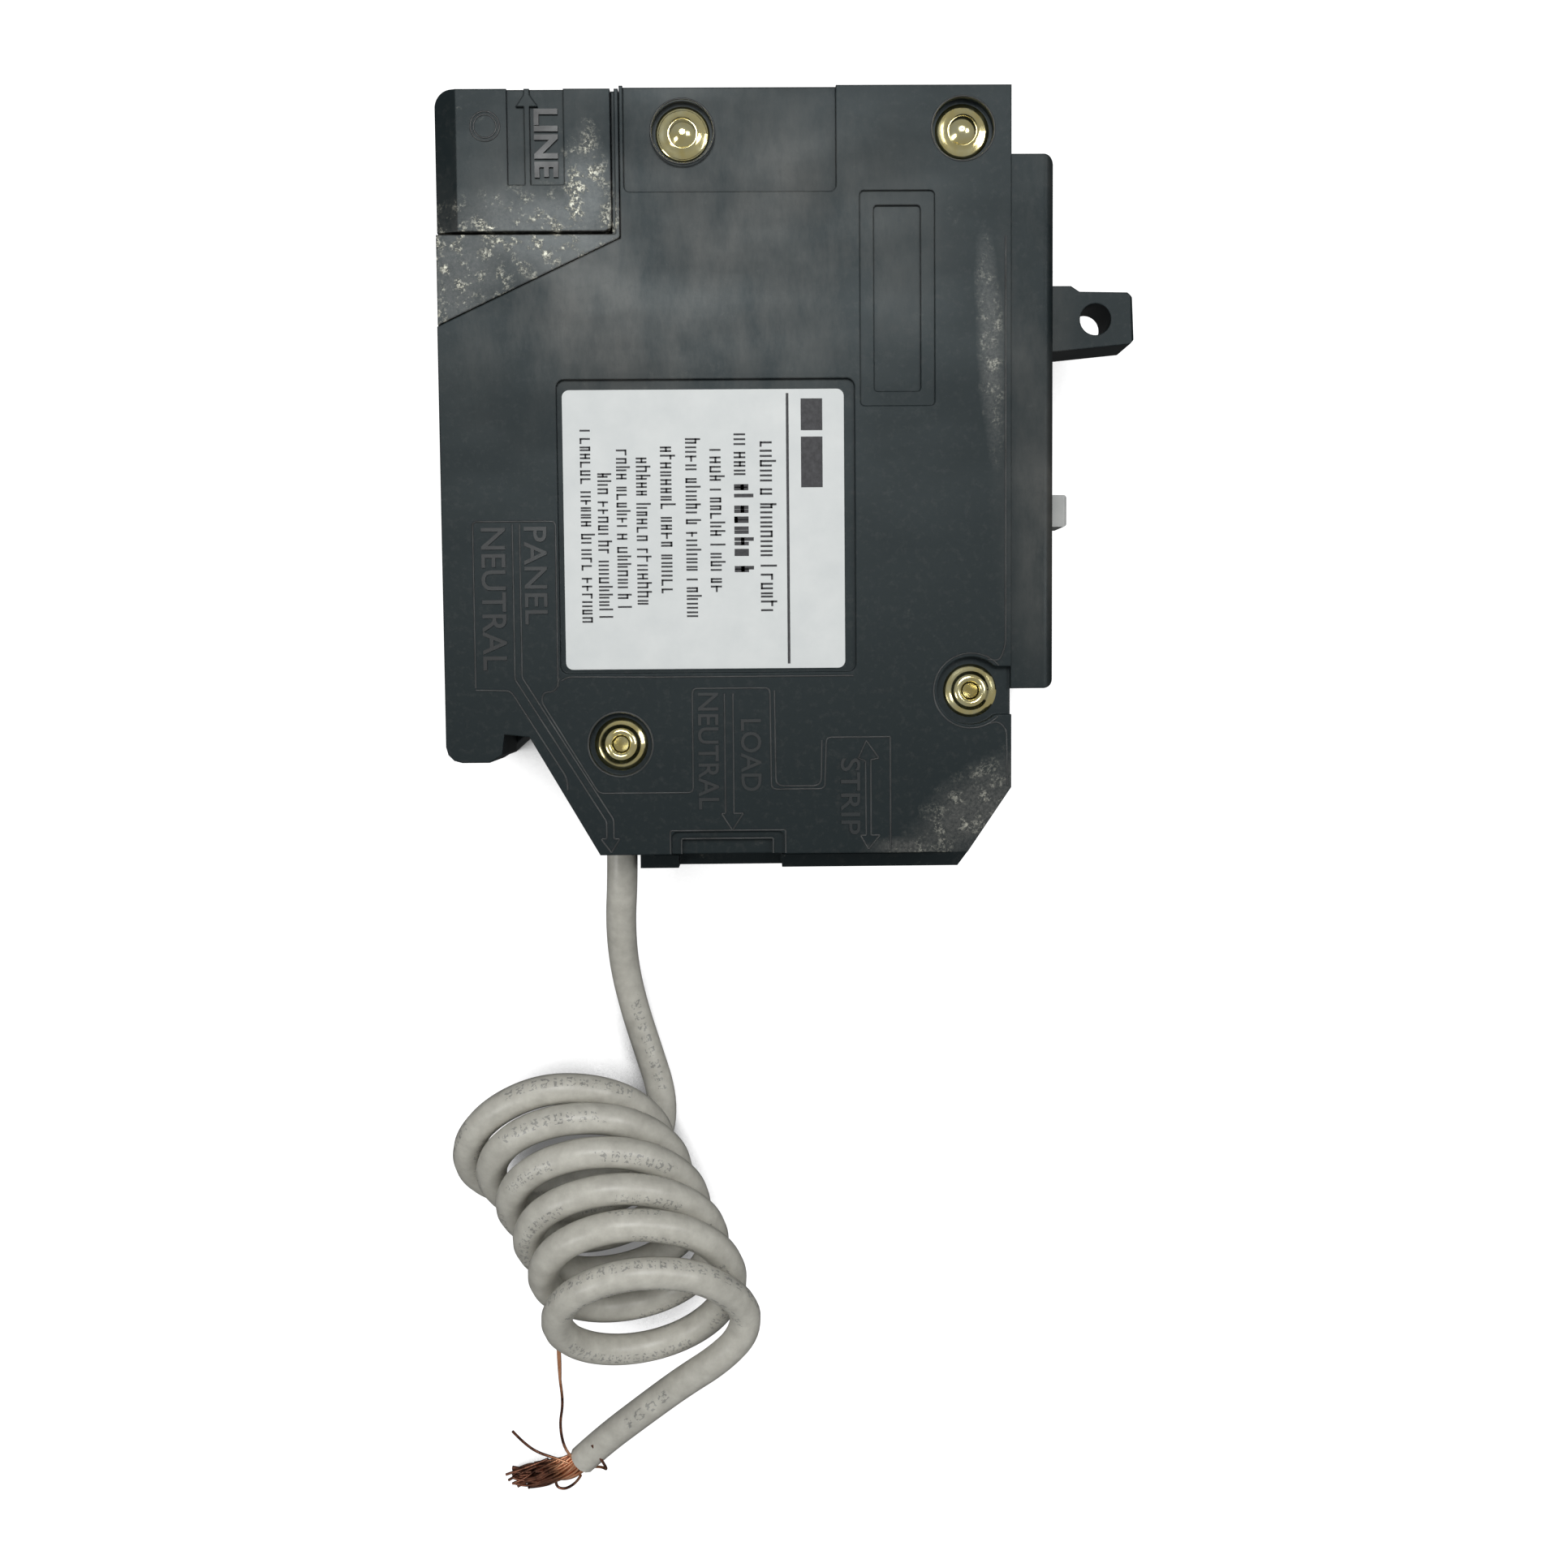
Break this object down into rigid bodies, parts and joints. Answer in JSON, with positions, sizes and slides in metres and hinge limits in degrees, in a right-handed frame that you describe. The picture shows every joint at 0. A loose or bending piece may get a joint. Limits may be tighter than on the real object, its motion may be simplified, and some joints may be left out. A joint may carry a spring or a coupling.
{
  "type": "gfci breaker",
  "caption": "Plug-on ground-fault circuit breaker with a toggle handle, a test button, riveted case halves, wire clamps and a coiled neutral pigtail.",
  "frame": {"origin": "on the far side face of the case, which the breaker lies on, at the middle of the case's depth from the rail side to the shoulder", "axes": "+X towards the handle, +Y towards the line end, +Z through the thickness to the labelled side"},
  "size_m": [0.0813, 0.1687, 0.0289],
  "materials": {
    "molding": "molded black thermoset with a faint sheen",
    "rivet": "yellow plated, turned",
    "label": "printed film",
    "light_plastic": "molded, light grey",
    "copper": "bare copper",
    "steel": "plated steel",
    "contact_silver": "silver alloy",
    "fibre": "vulcanised fibre",
    "bimetal": "rolled bimetal strip",
    "circuit": "solder mask over glass laminate",
    "ferrite": "sintered",
    "winding": "enamelled copper wire",
    "bobbin": "nylon",
    "component": "epoxy packages",
    "insulation": "extruded, white"
  },
  "bodies": {
    "case": {"base_case": "molding", "center_frame": "molding", "cover": "molding", "cap_rivets": "rivet", "open_rivets": "rivet", "side_label": "label", "front_label": "label", "line_jaw": "copper", "line_strap": "copper", "flex_braid": "copper", "load_strap": "copper", "load_conductor": "copper", "neutral_strap": "copper", "test_contact": "copper", "pigtail_strands": "copper", "pigtail_splice": "copper", "load_lug": "copper", "neutral_lug": "copper", "jaw_clip": "steel", "arc_plates": "steel", "handle_pin": "steel", "arm_pin": "steel", "cradle_pin": "steel", "armature_pin": "steel", "main_spring": "steel", "armature_spring": "steel", "magnet_yoke": "steel", "calibration_screw": "steel", "solenoid_frame": "steel", "plunger_spring": "steel", "test_spring": "steel", "fixed_contact": "contact_silver", "arc_boards": "fibre", "bimetal": "bimetal", "circuit_board": "circuit", "toroid_cores": "ferrite", "toroid_windings": "winding", "solenoid_winding": "winding", "solenoid_bobbin": "bobbin", "film_capacitor": "component", "varistor": "component", "thyristor": "component", "sense_chip": "component", "resistors": "component", "pigtail_lead": "insulation", "pigtail_coil": "insulation", "pigtail_tail": "insulation"},
    "handle": {"handle": "molding"},
    "contact_arm": {"contact_arm": "copper", "moving_contact": "contact_silver"},
    "cradle": {"cradle": "steel"},
    "armature": {"armature": "steel"},
    "plunger": {"plunger": "steel", "trip_link": "steel"},
    "test_button": {"test_button": "light_plastic"},
    "load_clamp": {"load_clamp": "steel"},
    "load_screw": {"load_screw": "steel"},
    "neutral_clamp": {"neutral_clamp": "steel"},
    "neutral_screw": {"neutral_screw": "steel"}
  },
  "joints": [
    {"name": "handle_swing", "type": "hinge", "parent": "case", "child": "handle", "pos_m": [0.0245, 0.0185, 0.0127], "axis": [0, 0, 1], "range_deg": [-18, 18]},
    {"name": "contact_arm_swing", "type": "hinge", "parent": "case", "child": "contact_arm", "pos_m": [0.0165, 0.023, 0.0071], "axis": [0, 0, 1], "range_deg": [-9, 9], "deforming": ["main_spring", "flex_braid"]},
    {"name": "cradle_swing", "type": "hinge", "parent": "case", "child": "cradle", "pos_m": [0.009, 0.0335, 0.0034], "axis": [0, 0, 1], "range_deg": [0, 8]},
    {"name": "armature_swing", "type": "hinge", "parent": "case", "child": "armature", "pos_m": [0.0065, -0.027, 0.0066], "axis": [0, 0, 1], "range_deg": [0, 4], "stiffness_Nm_per_rad": 0.002, "deforming": ["armature_spring"]},
    {"name": "trip_plunger_slide", "type": "slide", "parent": "case", "child": "plunger", "axis": [-1, 0, 0], "range_m": [0, 0.0016], "stiffness_N_per_m": 60, "deforming": ["plunger_spring"]},
    {"name": "test_button_press", "type": "slide", "parent": "case", "child": "test_button", "axis": [-1, 0, 0], "range_m": [0, 0.0015], "stiffness_N_per_m": 400, "deforming": ["test_spring"]},
    {"name": "load_clamp_slide", "type": "slide", "parent": "case", "child": "load_clamp", "axis": [-1, 0, 0], "range_m": [0, 0.003]},
    {"name": "load_screw_turn", "type": "hinge", "parent": "load_clamp", "child": "load_screw", "pos_m": [0.022, -0.0372, 0.007], "axis": [-1, 0, 0], "range_deg": [0, 1351]},
    {"name": "neutral_clamp_slide", "type": "slide", "parent": "case", "child": "neutral_clamp", "axis": [-1, 0, 0], "range_m": [0, 0.003]},
    {"name": "neutral_screw_turn", "type": "hinge", "parent": "neutral_clamp", "child": "neutral_screw", "pos_m": [0.0076, -0.0372, 0.0183], "axis": [-1, 0, 0], "range_deg": [0, 1351]}
  ],
  "couplings": [
    {"joint": "contact_arm_swing", "follows": "handle_swing", "ratio": -0.5},
    {"joint": "load_screw_turn", "follows": "load_clamp_slide", "rad_per_m": 7854},
    {"joint": "neutral_screw_turn", "follows": "neutral_clamp_slide", "rad_per_m": 7854}
  ]
}
